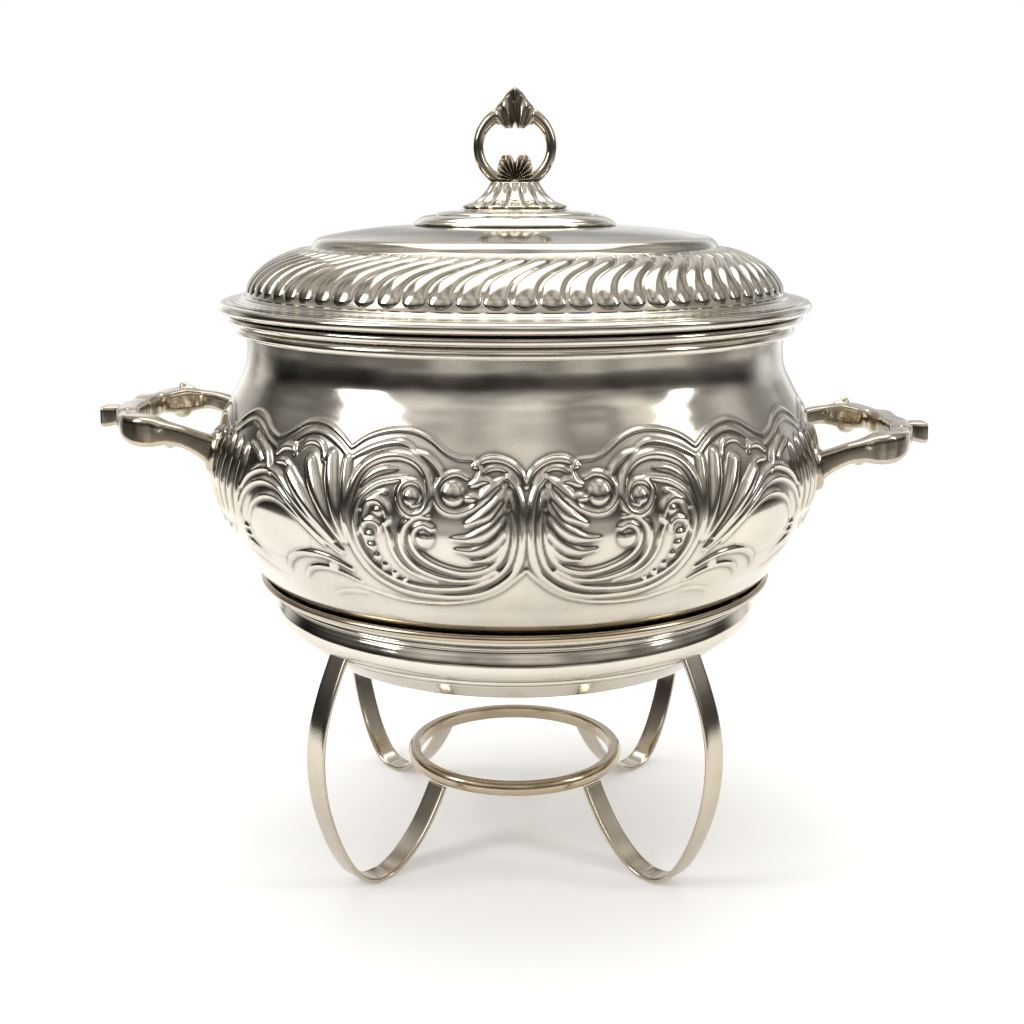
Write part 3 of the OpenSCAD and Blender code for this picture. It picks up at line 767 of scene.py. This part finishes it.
def make_shell():
    """Scallop with two lobes, each with fine ribs that run from its foot."""
    z0, z1 = span("finial_shell")
    tall = z1 - z0
    turn = np.radians(np.linspace(-100, 100, 161))[None, :]
    reach = tall * (0.80 + 0.22 * np.exp(-((np.abs(turn) - 0.42) / 0.34) ** 2)
                    - 0.17 * np.exp(-(turn / 0.11) ** 2) - 0.10 * smooth_step(np.abs(turn), 0.9, 1.7))
    t = np.linspace(0, 1, 50)[:, None]
    ribs = 0.5 + 0.5 * np.cos((np.abs(turn) - 0.12) * TAU / 0.27)
    reach = reach * (1 + 0.03 * ribs)
    x = np.clip(reach * t * np.sin(turn), *span("finial_shell", X))
    z = np.clip(z0 + 0.7 + reach * t * np.cos(turn), z0, z1)
    crown = unit(1 - t**5) ** 0.5 * unit(0.35 + 1.1 * t)
    relief = 0.58 + 0.42 * ribs - 0.25 * np.exp(-(turn / 0.10) ** 2)
    shade = unit(1.25 - 1.7 * ribs) * unit(1.6 - t)
    half_thickness = 0.49 * np.ptp(span("finial_shell", Y)) * crown * relief
    piece = two_faced("finial_shell_cast", x, z, half_thickness, shade)
    finish(piece, chased_dark, "lid", "finial_shell")


def make_plinth():
    """Low disc with a turned step and a bright outer band."""
    z0, z1 = span("finial_plinth")
    edge = span("finial_plinth", X)[1]
    # radius, and height as a share of the disc's
    line = [(19.5, 1.0), (21.8, 0.97), (22.6, 0.86), (23.6, 0.84), (26, 0.86), (28.6, 0.83), (31.4, 0.76),
            (32.6, 0.68), (33.2, 0.55), (34.2, 0.53), (35.4, 0.60), (36.4, 0.60), (38.4, 0.50), (40.2, 0.34),
            (edge - 0.9, 0.22), (edge - 0.25, 0.14), (edge - 0.1, 0.05), (edge - 0.6, 0.0)]
    top = curve([(r, z0 + f * (z1 - z0)) for r, f in line], 8)
    under = [(edge - 3, z0), (edge - 3, z0 + 0.6), (19.5, z1 - 1.2)]
    radius = np.r_[top[:, 0], [p[0] for p in under]]
    height = np.r_[np.clip(top[:, 1], z0, z1), [p[1] for p in under]]
    piece = turned("finial_plinth_turned", radius, height, columns=224)
    finish(piece, polished, "lid", "finial_plinth")


# ---- stand

# a leg's centre line from the collar down, round and up to the burner ring: radius, height
LEG_LINE = [(96.2, 103), (99, 98), (104.6, 86), (109, 73), (110.7, 60), (109.4, 44), (105.2, 28.5),
            (99, 14.5), (91.5, 4.8), (82.5, 0.9), (73.5, 2.3), (65, 7.4), (57.2, 15), (50.4, 24.5),
            (45.8, 32.5)]
STRAP_WIDTH, STRAP_THICK = 10.4, 1.96


def strap_section(width, thick):
    """A flat bar's outline with rounded edges."""
    corner = thick * 0.42
    points = []
    for sx, sy, a0 in ((1, 1, 0), (-1, 1, 90), (-1, -1, 180), (1, -1, 270)):
        for a in np.radians(np.linspace(a0, a0 + 90, 5)):
            points.append((sx * (width / 2 - corner) + corner * math.cos(a),
                           sy * (thick / 2 - corner) + corner * math.sin(a)))
    flat = []
    for p, q in zip(points, points[1:] + points[:1]):
        flat.append(p)
        if abs(p[0] - q[0]) > 2:
            flat += [(p[0] + (q[0] - p[0]) * f, p[1] + (q[1] - p[1]) * f) for f in (0.2, 0.4, 0.6, 0.8)]
    return np.array(flat)


def make_leg(node, angle):
    """A leg of bent strap, at an angle in degrees round the stand."""
    line = curve(LEG_LINE, 10)
    top = span(node)[1]
    low_ring = span("burner_ring")[0]
    start = np.argmax(line[:, 1] < min(top, 101.5))
    inner = np.nonzero((line[:, 0] < 60) & (line[:, 1] < low_ring + 0.3))[0][-1]
    line = line[start : inner + 1]
    c, s = math.cos(math.radians(angle)), math.sin(math.radians(angle))
    path = np.stack([line[:, 0] * c, line[:, 0] * s, line[:, 1]], 1)
    path[:, 2] = np.maximum(path[:, 2], 1.0)
    side = np.array([-s, c, 0])
    section = strap_section(STRAP_WIDTH, STRAP_THICK)
    # up is across the strap, so the section's width lies along it
    piece = swept(node + "_strap", path, lambda t: section[:, ::-1], up=side)
    finish(piece, strap_plate, "stand", node)


def hollows(z, r, spread=2.4, depth=0.22):
    """How far each row of a turned outline lies in a groove, from 0 to 1."""
    order = np.argsort(z)
    even = eased(z[order], r[order], spread, z)
    return unit((even - r) / depth)


def make_collar():
    """Moulded collar with its neck, its skirt and the seat inside it."""
    low, high = span("stand_collar")
    z = np.linspace(high - 0.05, low + 0.05, 260)
    r = eased(z[::-1], outer_radius("stand_collar", z[::-1]), 0.6, z)
    # fine turned grooves in the neck and above the skirt
    for centre, depth in ((115.9, 0.45), (114.6, 0.4), (113.4, 0.45), (102.2, 0.4), (101.2, 0.4),
                          (97.6, 0.35)):
        r -= depth * np.exp(-((z - centre) / 0.3) ** 2)
    # painted shade in the grooves, and on the collar's inner face
    dark = hollows(z, r)
    seat_r = 76
    inner_z = np.linspace(low + 1.4, high - 0.05, 60)
    inner_r = np.interp(inner_z, z[::-1], r[::-1]) - 1.7
    radius = np.r_[r, seat_r, seat_r, inner_r]
    height = np.r_[z, low + 0.02, low + 1.4, inner_z]
    shade = np.repeat(np.r_[dark, 0, 0, 0.7 + 0 * inner_r][:, None], 256, 1)
    piece = turned("stand_collar_turned", radius, height, columns=256, recess_shade=shade)
    finish(piece, collar_plate, "stand", "stand_collar")


def make_rim(node, body, rows, spread, inner, darkness, last):
    """A moulding round the mouth. darkness(z, r, low, high) is the painted shade on its outer face, which
    ends with last at its top; inner is the radius behind it."""
    low, high = span(node)
    z = np.linspace(low + 0.02, high - 0.02, rows)
    r = eased(z, outer_radius(node, z), spread, z)
    shade = np.repeat(np.r_[1, darkness(z, r, low, high), last][:, None], RIM_COLUMNS, 1)
    piece = turned(node + "_turned", np.r_[inner, r, inner], np.r_[z[0], z, z[-1]], columns=RIM_COLUMNS,
                   recess_shade=shade)
    finish(piece, polished, body, node)


def pot_rim_shade(z, r, low, high):
    """Painted shade in the groove, in the gap under the lid and along the lower edge."""
    edges = smooth_step(z, high - 0.7, high - 0.1) + 1 - smooth_step(z, low, low + 0.5)
    return unit(hollows(z, r, 3.0, 0.6) + edges)


def lid_rim_shade(z, r, low, high):
    """Painted shade underneath, where it meets the pot."""
    return 1 - smooth_step(z, low + 0.5, low + 1.6)


def make_burner_ring():
    """Rounded ring round the burner's bore."""
    z0, z1 = span("burner_ring")
    outer = span("burner_ring", X)[1]
    bore = frame["record"]["mounts"][0]["dims"]["r_mm"]
    line = curve([(bore + 0.05, z0 + 0.6), (bore + 0.05, z1 - 1.4), (bore + 0.5, z1 - 0.3),
                  (bore + 1.4, z1), (outer - 1.6, z1 - 0.15), (outer - 0.45, z1 - 1.2),
                  (outer, z1 - 2.9), (outer - 0.2, z0 + 1.2), (outer - 1.1, z0 + 0.2),
                  (bore + 1.2, z0 + 0.05), (bore + 0.3, z0 + 0.2)], 6)
    piece = turned("burner_ring_turned", line[:, 0], line[:, 1], columns=256)
    finish(piece, worn_plate, "stand", "burner_ring")


# ---- handles

# the right handle, front root to back root: x, y, height above the loop, half width, half height
ARM = [(117, -37.6, -12.4, 5.0, 7.6), (122, -39.2, -8.4, 4.3, 5.6), (128, -40.6, -5.0, 4.0, 4.4),
       (133.5, -41.6, -2.6, 4.0, 4.1), (138.5, -42.2, -1.4, 4.3, 4.5), (143.6, -42.0, -0.8, 5.3, 5.9),
       (148.6, -40.4, -0.4, 5.7, 6.2), (153.2, -36.4, 0.3, 5.2, 5.3), (157.0, -29, 0.8, 4.5, 4.5),
       (159.2, -22, 0.9, 4.9, 5.2), (160.6, -15, 0.8, 4.3, 4.3), (161.8, -7, 0.4, 4.9, 5.0),
       (162.2, 0, 0.2, 5.2, 5.0), (161.8, 7, 0.4, 4.6, 4.6), (160.4, 15, 0.8, 5.1, 5.2),
       (158.2, 23, 0.8, 4.3, 4.4), (154.8, 31, 0.4, 5.2, 5.2), (151.4, 36.6, 0.2, 5.7, 5.6),
       (147.0, 40.0, 0.0, 5.2, 5.0), (142.0, 41.8, -0.2, 3.9, 4.2), (136.4, 42.0, -0.8, 3.6, 3.9),
       (130.0, 41.0, -2.8, 3.8, 4.1), (123, 39.4, -7.6, 4.2, 4.8), (117, 37.6, -11.4, 4.9, 6.6)]
THUMB = [(158, 0, 0.4, 4.2, 4.2), (164, 0, 0.2, 3.9, 4.0), (167.6, 0, -0.2, 3.6, 3.7),
         (170, 0, -0.4, 4.4, 4.1), (173, 0, -0.8, 5.0, 4.5), (175.4, 0, -1.0, 5.0, 4.5),
         (176.1, 0, -1.0, 4.3, 3.8)]
# lumps of the casting: x, y, height, radii along x, y and z
LUMPS = [(137.4, -42.2, -5.6, 2.6, 2.2, 1.9), (141.0, -45.4, 1.4, 2.4, 2.0, 2.2),
         (150.4, 35.6, -4.6, 4.2, 3.6, 3.0), (148.6, 41.4, 4.4, 3.2, 2.0, 2.2),
         (150.6, 41.6, 6.2, 2.0, 1.6, 1.7), (145.6, 41.2, 3.4, 3.2, 1.8, 1.6),
         (158.6, -24, 4.6, 2.6, 3.4, 1.8), (156.0, 20, 4.4, 2.8, 3.2, 1.8),
         (164.6, -5.6, 2.6, 2.2, 3.0, 2.4), (150.6, -33.4, -4.2, 3.0, 3.0, 2.4),
         (155.6, -13.6, -3.2, 2.4, 3.4, 2.2)]


def block_ring(count, corner):
    """A unit outline between a circle (corner 2) and a square."""
    a = np.arange(count) * TAU / count
    c, s = np.cos(a), np.sin(a)
    return np.stack([np.sign(c) * np.abs(c) ** (2 / corner), np.sign(s) * np.abs(s) ** (2 / corner)], 1)


def rod(name, knots, corner, sign, level):
    """A bar through knots of x, y, height, half width and half height."""
    line = curve(knots, 10)
    ring = block_ring(24, corner)
    path = line[:, :3] * (sign, 1, 1) + (0, 0, level)

    def section(t):
        i = min(int(round(t * (len(line) - 1))), len(line) - 1)
        return ring * line[i, 3:5]

    return swept(name, path, section)


def lump(x, y, z, rx, ry, rz):
    """A small rounded lump, as a lathed egg."""
    a = np.linspace(0, math.pi, 13)
    piece = turned("lump", np.where(np.sin(a) < 1e-9, 0, np.sin(a)), -np.cos(a), columns=16, closed=False)
    for v in piece.data.vertices:
        v.co = Vector((x + v.co.x / MM * rx, y + v.co.y / MM * ry, z + v.co.z / MM * rz)) * MM
    return piece


def make_handle(sign, name, node):
    """Cast branch: squarish arms with knuckles, a thorn, a spur and a blunt thumb-piece."""
    level = span(node)[1] - LOOP_BELOW_TOP
    parts = [rod(name, ARM, 5.0, sign, level), rod(name + "_thumb", THUMB, 6.0, sign, level)]
    parts += [lump(sign * x, y, level + z, rx, ry, rz) for x, y, z, rx, ry, rz in LUMPS]
    piece = fuse(join(name, parts), 0.5, 3)
    finish(piece, cast, "pot", node)


def make_roots(sign, name, node):
    """The soldered feet of a handle: two low flares that follow the bowl."""
    low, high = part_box(node)
    level = (low.z + high.z) / 2
    tree = bvh("pot_bowl")
    parts = []
    for end in (-1, 1):
        across = Vector((sign * math.cos(ROOT_TURN), end * math.sin(ROOT_TURN), 0))
        foot, normal = tree.ray_cast(across + Vector((0, 0, level)), -across)[:2]
        side = Vector((0, 0, 1)).cross(normal).normalized()
        up = normal.cross(side)
        # from the middle of the foot outwards: radius, height off the bowl
        out = curve([(0.1, 0.9), (2.6, 0.95), (4.4, 0.9), (5.4, 0.5), (6.1, -0.2), (6.5, -1.1),
                     (6.7, -2.2)], 5)
        ring = np.arange(48) * TAU / 48
        wobble = 1 + 0.05 * np.cos(3 * ring + end)
        points = [foot / MM + r * w * (math.cos(a) * side + 1.25 * math.sin(a) * up) + h * normal
                  for r, h in out.tolist() for a, w in zip(ring.tolist(), wobble.tolist())]
        points = np.array([p[:] for p in points])
        parts.append(add_mesh(name + str(end), points, grid_faces(len(out), 48)))
    piece = join(name, parts)
    solid = piece.modifiers.new("plate", "SOLIDIFY")
    solid.thickness = 0.6 * MM
    finish(piece, cast, "pot", node)


# ---- build

make_bowl()
make_lid()
make_calyx()
make_ring()
make_leaf()
make_shell()
make_plinth()
make_collar()
make_rim("pot_rim", "pot", 90, 0.5, 112.1, pot_rim_shade, 1)
make_rim("lid_rim", "lid", 80, 0.3, 110.1, lid_rim_shade, 0)
make_burner_ring()
for leg_node, leg_angle in (("leg_front_left", 225), ("leg_front_right", 315), ("leg_back_left", 135),
                            ("leg_back_right", 45)):
    make_leg(leg_node, leg_angle)
make_handle(-1, "handle_left_cast", "handle_left")
make_handle(1, "handle_right_cast", "handle_right")
make_roots(-1, "handle_left_roots", "handle_left_pads")
make_roots(1, "handle_right_roots", "handle_right_pads")

for n in ("pot_foot_ring", "lid_bezel"):
    paint_node(n, cast)
paint_node("stand_rim_wire", worn_plate)
for n in ("finial_stud", "finial_washer", "finial_nut"):
    paint_node(n, brass)


# ---- floor, light and camera

def make_floor():
    """A round white table top."""
    ring = np.arange(96) * TAU / 96
    radii = np.linspace(0.05, 0.92, 9)
    rings = [np.stack([r * np.cos(ring), FLOOR_CENTRE + r * np.sin(ring), 0 * ring], 1) for r in radii]
    points = np.vstack(rings + [[[0, FLOOR_CENTRE, 0]]]) / MM
    c = np.arange(96)
    hub = np.stack([np.full(96, len(points) - 1), c, (c + 1) % 96], 1)
    floor = add_mesh("floor", points, grid_faces(len(radii), 96), hub[:, ::-1])
    material, _, shader, _ = node_maker("floor_paper")
    shader.inputs["Base Color"].default_value = (0.93, 0.93, 0.93, 1)
    shader.inputs["Roughness"].default_value = 0.7
    shader.inputs["Specular IOR Level"].default_value = 0.2
    shader.inputs["Emission Color"].default_value = (1, 1, 1, 1)
    shader.inputs["Emission Strength"].default_value = 0.2
    paint(floor, material)


def area_light(name, place, target, size, power):
    data = bpy.data.lights.new(name, "AREA")
    data.shape = "RECTANGLE"
    data.size, data.size_y = size
    data.energy = power
    o = bpy.data.objects.new(name, data)
    o.location = place
    o.rotation_euler = (Vector(target) - Vector(place)).to_track_quat("-Z", "Y").to_euler()
    bpy.context.scene.collection.objects.link(o)


def make_world():
    """A dim studio round a white table: dark at table level and far to the left, lighter overhead and
    behind. The camera itself sees plain white past the floor."""
    world = bpy.data.worlds.new("studio")
    bpy.context.scene.world = world
    world.use_nodes = True
    tree = world.node_tree
    add = adder(tree)
    direction = add("TexCoord").outputs["Generated"]
    split = add("SeparateXYZ", {0: direction})

    def tones(axis, stops, tint=(1, 1, 1)):
        """Light by direction along an axis: 0 is its far negative end, 1 its positive one."""
        place = add("MapRange", {"Value": split.outputs[axis], "From Min": -1}).outputs[0]
        return ramp(add, place, [(p, [value * t for t in tint]) for p, value in stops])

    up = tones("Z", [(0.0, 0.45), (0.38, 0.42), (0.455, 0.16), (0.5, 0.055), (0.565, 0.09), (0.64, 0.30),
                      (0.76, 0.62), (0.88, 0.74), (1.0, 0.70)], (1, 0.97, 0.93))
    back = tones("Y", [(0.0, 0.0), (0.66, 0.0), (0.80, 0.55), (1.0, 0.9)])
    left = tones("X", [(0.0, 0.3), (0.05, 0.36), (0.14, 1.0)])
    light = add("VectorMath", {0: blend(add, 1, up, back, "LIGHTEN"), 1: left}, operation="MULTIPLY")
    # large soft patches, as walls and screens of a room give
    patches = add("TexNoise", {"Vector": direction, "Scale": 2.6, "Detail": 2.5})
    contrast = add("MapRange", {"Value": patches.outputs["Fac"], "From Min": 0.36, "From Max": 0.64,
                                "To Min": 0.45, "To Max": 1.5})
    room = add("VectorMath", {0: light.outputs[0], "Scale": contrast.outputs[0]}, operation="SCALE")
    seen = blend(add, add("LightPath").outputs["Is Camera Ray"], room.outputs[0], (1, 1, 1))
    tree.links.new(seen, tree.nodes["Background"].inputs["Color"])


def make_light():
    make_world()
    area_light("softbox_left", (-1.15, -0.55, 0.95), (0, 0, 0.17), (0.5, 0.8), 7.5)
    area_light("softbox_right", (1.25, -0.45, 0.90), (0, 0, 0.17), (0.22, 0.7), 3.2)
    area_light("overhead", (0, 0.35, 1.5), (0, 0.25, 0), (1.5, 1.3), 13)


FILM = 36                       # width of the sensor, in millimetres
FOCAL_SHARE = 1395 / 1024       # focal length as a share of the sensor's width
CAMERA_DOWN = 13.05             # degrees below level


def make_camera():
    data = bpy.data.cameras.new("camera")
    data.sensor_width = FILM
    data.lens = FILM * FOCAL_SHARE
    camera = bpy.data.objects.new("camera", data)
    camera.location = (-0.0012, -0.5904, 0.2799)
    camera.rotation_euler = (math.radians(90 - CAMERA_DOWN), 0, 0)
    bpy.context.scene.collection.objects.link(camera)
    bpy.context.scene.camera = camera


make_floor()
make_light()
make_camera()
bpy.context.scene.view_settings.view_transform = "Standard"
